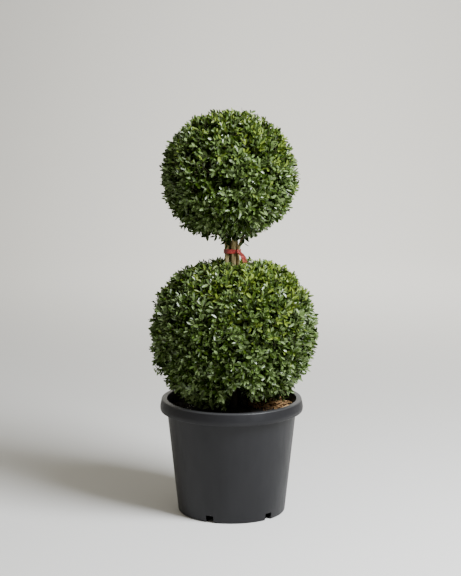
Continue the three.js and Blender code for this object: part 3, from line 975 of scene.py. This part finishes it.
def grow_shoots(ball, sunk, share, nodes, rng):
    """Sprays spread over the ball, fewer of them underneath. Each fans into shoots that end at the
    outline, or sunk under it."""
    outward = spread_directions(int(ball["sprays"] * share), rng)
    underneath = np.clip(-outward[:, 2] - 0.35, 0, 1)
    keep = rng.random(len(outward)) > 0.56 * underneath
    keep &= ~is_thinned(ball, outward, sunk, rng)
    outward = outward[keep]
    count = len(outward)
    reach = outline_reach(ball, outward) - sunk
    lean = rng.random((count, 3)) - 0.5 + LIFT
    along = unit(outward + LEAN * lean)
    base = ball["centre"] + outward * (reach - SPRAY_DEPTH)[:, None]
    spray = np.repeat(np.arange(count), SHOOTS)
    fan = rng.normal(size=(len(spray), 3)) * FAN
    heading = unit(along[spray] + fan)
    start = base[spray] + along[spray] * (0.006 * rng.random(len(spray)))[:, None]
    toward = unit(start + heading * SHOOT_LENGTH - ball["centre"])
    # Most tips end a little under the outline, some deeper, and one in twelve stands up to it.
    proud = -0.0065 + 0.0036 * rng.normal(size=len(spray))
    proud = proud + 0.007 * (rng.random(len(spray)) < 0.08)
    depth = rng.random(len(spray)) ** 2 * -0.012
    reach = outline_reach(ball, toward) - sunk + np.clip(proud + depth, -0.026, 0.0035)
    tip = ball["centre"] + toward * reach[:, None]
    stand = ~in_hollow(ball, toward) | (sunk > 0)
    shoots = {"spray": spray[stand], "start": start[stand], "tip": tip[stand], "toward": toward[stand]}
    shoots.update(outward=outward, base=base)
    fill_gaps(ball, shoots, sunk, rng)
    shoots.update(nodes=nodes, sunk=sunk, proud=LEAF_PROUD)
    return shoots


def fill_gaps(ball, shoots, sunk, rng):
    """Adds a shoot to the nearest spray wherever the outline would otherwise be bare."""
    places = spread_directions(FILL_PLACES, rng)
    places = places[~is_thinned(ball, places, sunk, rng)]
    places = places[~in_hollow(ball, places) | (sunk > 0)]
    reach = outline_reach(ball, places) - sunk - 0.009 - 0.012 * rng.random(len(places))
    ends = ball["centre"] + places * reach[:, None]
    widest = ball["shoot_gap"] * (SUNK_GAP if sunk else 1)
    added, tips = [], shoots["tip"]
    for index, end in enumerate(ends):
        if np.linalg.norm(tips - end, axis=1).min() > widest:
            added.append(index)
            tips = np.concatenate([tips, end[None]])
    toward, tip = places[added], ends[added]
    heading = unit(toward + LEAN * (rng.random((len(added), 3)) - 0.5 + LIFT))
    nearest = np.linalg.norm(tip[:, None] - shoots["base"][None], axis=2).argmin(axis=1)
    shoots["spray"] = np.concatenate([shoots["spray"], nearest])
    shoots["start"] = np.concatenate([shoots["start"], tip - heading * 0.03])
    shoots["tip"] = tips
    shoots["toward"] = np.concatenate([shoots["toward"], toward])


def grow_leaves(ball, shoots, rng):
    """Pairs of leaves down each shoot, each pair square to the one before it."""
    along = unit(shoots["tip"] - shoots["start"])
    length = np.linalg.norm(shoots["tip"] - shoots["start"], axis=1)
    first, second = side_vectors(along)
    phase = rng.random(len(along)) * math.pi
    size = (0.88 + 0.24 * rng.random(len(shoots["outward"])))[shoots["spray"]]
    size = size * (1 - SHADE_GROWTH * shoots["toward"][:, 2])
    rows = {key: [] for key in ("root", "along", "face", "length", "level", "shoot")}
    for level in range(shoots["nodes"]):
        gap = (level + 0.15 + 0.25 * rng.random(len(along))) * NODE_GAP
        usable = gap < length
        splay = np.radians(LEAF_SPLAY[level] + 9 * rng.normal(size=len(along)))
        for side in (0, 1):
            turn = phase + level * math.pi / 2 + side * math.pi + 0.2 * rng.normal(size=len(along))
            off = first * np.cos(turn)[:, None] + second * np.sin(turn)[:, None]
            blade = unit(along * np.cos(splay)[:, None] + off * np.sin(splay)[:, None])
            stray = 0.5 * rng.normal(size=blade.shape)
            face = along * 0.8 + shoots["toward"] * 0.3 + LIGHTWARD + stray
            face = unit(face - blade * np.sum(face * blade, axis=1, keepdims=True))
            scale = LEAF_SCALE[level] * size * (0.86 + 0.28 * rng.random(len(along)))
            root = shoots["tip"] - along * gap[:, None]
            picked = np.flatnonzero(usable)
            rows["root"].append(root[picked])
            rows["along"].append(blade[picked])
            rows["face"].append(face[picked])
            rows["length"].append(scale[picked] * LEAF_LENGTH)
            rows["level"].append(np.full(len(picked), level))
            rows["shoot"].append(picked)
    leaves = {key: np.concatenate(value) for key, value in rows.items()}
    return keep_leaves(ball, leaves, shoots["proud"])


def keep_leaves(ball, leaves, proud):
    """Drops each leaf that would stand too proud of the outline, fill a hollow, hang below the skirt or
    touch a limb."""
    tip = leaves["root"] + leaves["along"] * leaves["length"][:, None]
    middle = (tip + leaves["root"]) / 2
    offset = tip - ball["centre"]
    toward = unit(offset)
    over = np.linalg.norm(offset, axis=1) - outline_reach(ball, toward)
    keep = (over < proud) & clear_of_limbs(middle, 0.002) & clear_of_limbs(tip, 0.001)
    keep &= ~in_hollow(ball, unit(middle - ball["centre"])) | (over < -HOLLOW_DEPTH)
    keep &= clear_of_limbs(leaves["root"], 0.0005)
    keep &= tip[:, 2] > skirt_height(ball, toward) - 0.004
    return {key: value[keep] for key, value in leaves.items()}


def leaf_arrays(leaves, rng):
    """All the leaves as one array of points, each leaf with its own width, fold and droop."""
    count = len(leaves["length"])
    side = np.cross(leaves["along"], leaves["face"])
    wide = (0.92 + 0.26 * rng.random(count))[:, None]
    fold = (0.4 + 1.6 * rng.random(count))[:, None]
    droop = (0.12 * rng.normal(size=count) + 0.08)[:, None]
    across = LEAF_POINTS[None, :, 0] * wide
    forward = LEAF_POINTS[None, :, 1]
    up = LEAF_POINTS[None, :, 2] * fold - droop * LEAF_POINTS[None, :, 1] ** 2
    points = side[:, None] * across[..., None] + leaves["along"][:, None] * forward[..., None]
    points = points + leaves["face"][:, None] * up[..., None]
    points = leaves["root"][:, None] + points * leaves["length"][:, None, None]
    faces = (np.arange(count) * len(LEAF_POINTS))[:, None, None] + LEAF_FACES[None]
    return points.reshape(-1, 3), faces.reshape(-1, 3)


# Thin shoots at the neck and under the upper ball, in millimetres: start, end, and radius at the start.
NECK_SPROUTS = (
    ((-3.6, 7, 500), (-8, 9, 612), 1.8),
    ((-2.8, 6, 500), (-4.8, 8, 612), 1.8),
    ((-2.2, 9, 500), (-2, 9, 612), 1.8),
    ((-12, 5, 560), (-16, 8, 606), 1.2),
    ((7, 5, 560), (-4, 2, 600), 0.9),
    ((-15, -8, 608), (-17, -16, 586), 0.8),
    ((-10, -9, 608), (-11, -17, 585), 0.8),
    ((-6, -9, 606), (-6, -17, 584), 0.8),
    ((-4, -11, 608), (-1, -19, 588), 0.8),
    ((2, -12, 608), (4, -20, 590), 0.8),
    ((8, -11, 606), (10, -18, 590), 0.8),
    ((-17, -2, 600), (-24, -5, 588), 0.8),
    ((-8, -7, 598), (-7, -14, 580), 0.8),
    ((-11, -8, 592), (-11, -13, 573), 0.8),
    ((-4, 7, 588), (-3, -2, 572), 0.8),
    ((8, 9, 584), (-6, 14, 590), 0.8),
    ((5, -7, 600), (14, -15, 592), 0.8),
    ((-38, -14, 610), (-52, -22, 590), 0.8),
    ((-27, -10, 592), (-37, -16, 588), 0.8),
    ((26, -9, 590), (24, -17, 576), 0.8),
    ((32, -10, 598), (30, -19, 588), 0.8),
    ((30, -8, 588), (40, -14, 596), 0.8),
)


def grow_sprouts():
    """The thin shoots of the neck, which bear leaves like those of the balls."""
    start, tip, thick = [np.array(column) * MILLIMETRE for column in zip(*NECK_SPROUTS)]
    heading = unit(tip - start)
    shoots = {"start": start, "tip": tip, "thick": thick, "spray": np.arange(len(start))}
    shoots.update(toward=heading, outward=heading, nodes=3, proud=0.05)
    return shoots


def join_arrays(parts):
    """Several (points, faces) as one."""
    points, faces, count = [], [], 0
    for part_points, part_faces in parts:
        points.append(part_points)
        faces.append(part_faces + count)
        count += len(part_points)
    return np.concatenate(points), np.concatenate(faces)


BRANCHES = 46


def grow_wood(ball, shoots, rng):
    """Branches inside the ball from the stems to each spray, and the shoots themselves."""
    centre = ball["centre"]
    places, _ = limb_samples()
    inside = np.abs(places[:, 2] - centre[2]) < 0.75 * ball["half_down"]
    places = places[inside]
    heads = spread_directions(BRANCHES, rng)
    forks = centre + heads * (0.5 * outline_reach(ball, heads))[:, None]
    forks = forks[clear_of_limbs(forks, 0.006)]
    below = forks - [0, 0, 0.03]
    roots = places[np.linalg.norm(below[:, None] - places[None], axis=2).argmin(axis=1)]
    nearest = np.linalg.norm(shoots["base"][:, None] - forks[None], axis=2).argmin(axis=1)
    bends = 0.5 * (forks[nearest] + shoots["base"]) + 0.006 * rng.normal(size=shoots["base"].shape)
    # Each kind of wood, from the stems outward: its starts, its ends and the radius at each.
    parts = [
        (roots, forks, 0.0028, 0.0019),
        (forks[nearest], bends, 0.0015, 0.0012),
        (bends, shoots["base"], 0.0012, 0.001),
        (shoots["base"][shoots["spray"]], shoots["start"], 0.0009, 0.0008),
        (shoots["start"], shoots["tip"], 0.0008, 0.0004),
    ]
    tubes = []
    for starts, ends, thick, thin in parts:
        tubes.append(tube_arrays(starts, ends, np.full(len(starts), thick), np.full(len(starts), thin)))
    return join_arrays(tubes)


# Each tint's colour, roughness and gloss. The first four are one green, darkest to lightest, dealt partly
# at random and partly as painted shade and painted light; the first two are the leaves in shade. The fifth
# is young yellow-green growth, and the last is the pale back of a leaf.
LEAF_TINTS = {
    "leaf_shaded": ((0.0155, 0.034, 0.0006), 0.55, 0.12),
    "leaf_deep": ((0.032, 0.061, 0.0025), 0.46, 0.32),
    "leaf_green": ((0.066, 0.12, 0.0135), 0.39, 0.82),
    "leaf_bright": ((0.13, 0.202, 0.054), 0.38, 1.0),
    "leaf_fresh": ((0.17, 0.242, 0.026), 0.48, 0.5),
    "leaf_underside": ((0.15, 0.21, 0.07), 0.6, 0.4),
}


TINT_STEPS = (0.12, 0.37, 0.6)
YOUNG_SCORE = 0.52
SHADED, DEEP, FRESH, UNDERSIDE = 0, 1, 4, 5


def deal_tints(ball, shoots, leaves, rng):
    """Which tint each leaf takes: by its spray, its depth as painted shade, painted light on the top and
    right, the ball's painted tones, and which face it shows.
    """
    sprays = len(shoots["outward"])
    spray = shoots["spray"][leaves["shoot"]]
    outward = shoots["outward"][spray]
    luck = rng.random(sprays)[spray]
    vigour = 0.6 * rng.random(sprays)[spray] + 0.4 * rng.random(len(spray))
    young = vigour < 0.2 + 0.55 * outward[:, 2] + 0.2 * outward[:, 0]
    # The sunk layer takes only the two dark tints as painted shade, with more of the lighter one on the
    # top and right as painted light.
    if shoots["sunk"]:
        lit = 0.22 + 0.35 * np.clip(outward[:, 2], 0, 1) + 0.12 * outward[:, 0]
        return np.where(rng.random(len(spray)) < lit, DEEP, SHADED)
    # Painted light: sprays on the top and right, towards the key lamp, score lighter; each leaf pair
    # further down its shoot scores darker, as painted shade.
    sun = 0.5 + 0.16 * outward[:, 2] + 0.14 * outward[:, 0]
    score = 0.5 * luck + 0.62 * sun + 0.28 * rng.normal(size=len(spray)) - 0.1 * leaves["level"]
    toward = shoots["toward"][leaves["shoot"]]
    # Painted light and shade by region, from the ball's tones.
    for heading, width, amount in ball["tones"]:
        score = score + amount * falloff(toward, heading, width)
    tint = np.digitize(score, TINT_STEPS)
    tint = np.where(young & (score > YOUNG_SCORE), FRESH, tint)
    under = np.sum(leaves["face"] * toward, axis=1) < -0.05
    return np.where(under & (tint > SHADED), UNDERSIDE, tint)


def make_foliage(ball, wood_finish, leaf_finishes):
    """A ball's wood as one piece, and its leaves as one piece for each tint."""
    rng = np.random.default_rng(ball["seed"])
    layers, grown = [], []
    for sunk, share, nodes in LAYERS:
        shoots = grow_shoots(ball, sunk, share, nodes, rng)
        leaves = grow_leaves(ball, shoots, rng)
        leaves["tint"] = deal_tints(ball, shoots, leaves, rng)
        layers.append(shoots)
        grown.append(leaves)
    wood = [grow_wood(ball, shoots, rng) for shoots in layers]
    if ball["name"] == "upper":
        sprouts = grow_sprouts()
        leaves = grow_leaves(ball, sprouts, rng)
        # The neck's leaves take only the two dark tints: painted shade under the upper ball.
        leaves["tint"] = np.where(rng.random(len(leaves["shoot"])) < 0.6, SHADED, DEEP)
        grown.append(leaves)
        thick = sprouts["thick"]
        wood.append(tube_arrays(sprouts["start"], sprouts["tip"], thick, 0.7 * thick))
    points, faces = join_arrays(wood)
    twigs = mesh_from_arrays(f"{ball['name']}_twigs", points, faces, wood_finish)
    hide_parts(ball["node"])
    leaves = {key: np.concatenate([part[key] for part in grown]) for key in grown[0]}
    for index, (name, finish) in enumerate(leaf_finishes.items()):
        picked = {key: value[leaves["tint"] == index] for key, value in leaves.items()}
        points, faces = leaf_arrays(picked, rng)
        piece = mesh_from_arrays(f"{ball['name']}_{name}", points, faces, finish)
        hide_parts(ball["node"])


# ---------------------------------------------------------------- loose things on the soil
COIR_MIDDLE = (0.079, 0.02)
COIR_SPREAD = (0.042, 0.055)
COIR_ROOTS_WITHIN = 0.126
COIR_WITHIN = 0.1275
FIBRE_STEPS = 4
CRUMBS_FROM = 0.035
CRUMBS_BAND = 0.093
LUMP_POINTS = np.array([(1, 0, 0), (0, 1, 0), (-1, 0, 0), (0, -1, 0), (0, 0, 1), (0, 0, -1)], float)
LUMP_TOP = [(0, 1, 4), (1, 2, 4), (2, 3, 4), (3, 0, 4)]
LUMP_FACES = np.array(LUMP_TOP + [(b, a, 5) for a, b, _ in LUMP_TOP])


def make_fibres(name, finish, count, thick, seed):
    """One shade of a patch of curly coir fibre on the soil at the right, held inside the pot's wall."""
    rng = np.random.default_rng(seed)
    turn = rng.random(count) * 2 * math.pi
    away = np.sqrt(rng.random(count))
    x = COIR_MIDDLE[0] + COIR_SPREAD[0] * away * np.cos(turn)
    y = COIR_MIDDLE[1] + COIR_SPREAD[1] * away * np.sin(turn)
    inside = np.hypot(x, y) < COIR_ROOTS_WITHIN
    x, y = x[inside], y[inside]
    heading = rng.random(len(x)) * 2 * math.pi
    rise = 0.3 * rng.normal(size=len(x))
    z = np.array([soil_height(a, b) for a, b in zip(x, y)]) + 0.001 + 0.004 * rng.random(len(x))
    place = np.stack([x, y, z], axis=1)
    step = (0.0025 + 0.004 * rng.random(len(x)))[:, None]
    width = np.full(len(x), thick)
    parts = []
    for _ in range(FIBRE_STEPS):
        ahead = place + step * np.stack([np.cos(heading), np.sin(heading), rise], axis=1)
        ahead[:, :2] /= np.maximum(np.linalg.norm(ahead[:, :2], axis=1) / COIR_WITHIN, 1)[:, None]
        parts.append(tube_arrays(place, ahead, width, 0.9 * width, sides=3))
        place = ahead
        heading = heading + 0.6 * rng.normal(size=len(x))
        rise = rise - 0.18 + 0.1 * rng.normal(size=len(x))
    points, faces = join_arrays(parts)
    mesh_from_arrays(name, points, faces, finish)


def make_crumbs(name, finish, count, small, large, seed):
    """Loose crumbs of one kind on the soil, each a rough eight-sided lump."""
    rng = np.random.default_rng(seed)
    turn = rng.random(count) * 2 * math.pi
    away = CRUMBS_FROM + CRUMBS_BAND * np.sqrt(rng.random(count))
    x, y = away * np.cos(turn), away * np.sin(turn)
    z = np.array([soil_height(a, b) for a, b in zip(x, y)])
    size = small + (large - small) * rng.random(count) ** 2
    shape = LUMP_POINTS * (0.6 + 0.8 * rng.random((count, 6, 1))) + 0.25 * rng.normal(size=(count, 6, 3))
    points = np.stack([x, y, z], axis=1)[:, None] + shape * size[:, None, None]
    faces = (np.arange(count) * 6)[:, None, None] + LUMP_FACES
    mesh_from_arrays(name, points.reshape(-1, 3), faces.reshape(-1, 3), finish, smooth=False)


# ---------------------------------------------------------------- making everything
set_camera()
light_studio()
make_paper_sweep(background_paper())
make_pot(charcoal_plastic())
make_soil(potting_soil())
make_limbs(bare_bark("pale_bark", 0.0), bare_bark("brown_bark", 0.45))
make_tie(red_tape())
twig_bark = new_finish("twig_bark", (0.1, 0.085, 0.04), 0.8)
leaf_finishes = {
    name: new_finish(name, colour, roughness, Specular_IOR_Level=gloss)
    for name, (colour, roughness, gloss) in LEAF_TINTS.items()
}
for ball in (UPPER_BALL, LOWER_BALL):
    make_foliage(ball, twig_bark, leaf_finishes)
coir = new_finish("coir", (0.6, 0.37, 0.16), 0.8)
brown_coir = new_finish("brown_coir", (0.21, 0.11, 0.045), 0.85)
crumb_brown = new_finish("crumb_brown", (0.035, 0.022, 0.012), 0.9)
perlite_white = new_finish("perlite_white", (0.6, 0.57, 0.5), 0.8)
make_fibres("coir_fibres", coir, count=120, thick=0.001, seed=5)
make_fibres("brown_fibres", brown_coir, count=210, thick=0.0009, seed=6)
make_crumbs("bark_crumbs", crumb_brown, count=700, small=0.0012, large=0.0045, seed=3)
make_crumbs("perlite", perlite_white, count=48, small=0.001, large=0.0024, seed=4)
